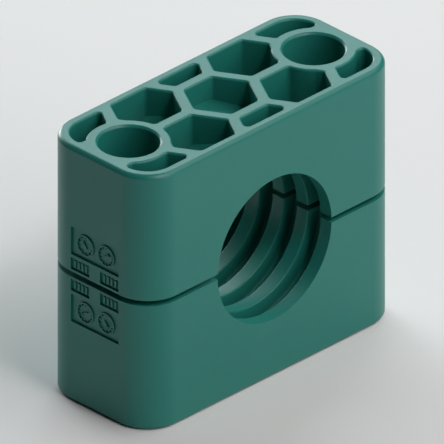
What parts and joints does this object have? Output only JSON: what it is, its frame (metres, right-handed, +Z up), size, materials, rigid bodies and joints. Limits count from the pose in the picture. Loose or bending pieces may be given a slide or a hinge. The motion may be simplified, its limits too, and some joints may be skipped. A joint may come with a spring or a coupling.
{
  "type": "hydraulic tube clamp",
  "caption": "Split plastic clamp body for a hydraulic tube: paired honeycombed halves with a ribbed bore and bolt holes.",
  "frame": {"origin": "middle of the footprint, on the surface that the clamp stands on", "axes": "+X along the clamp from one bolt to the other, +Y along the tube, +Z up through the halves"},
  "size_m": [0.0712, 0.03, 0.0584],
  "materials": {
    "green_polypropylene": "fine satin moulded polypropylene"
  },
  "bodies": {
    "root": {"upper_clamp_half": "green_polypropylene", "lower_clamp_half": "green_polypropylene"}
  },
  "joints": []
}
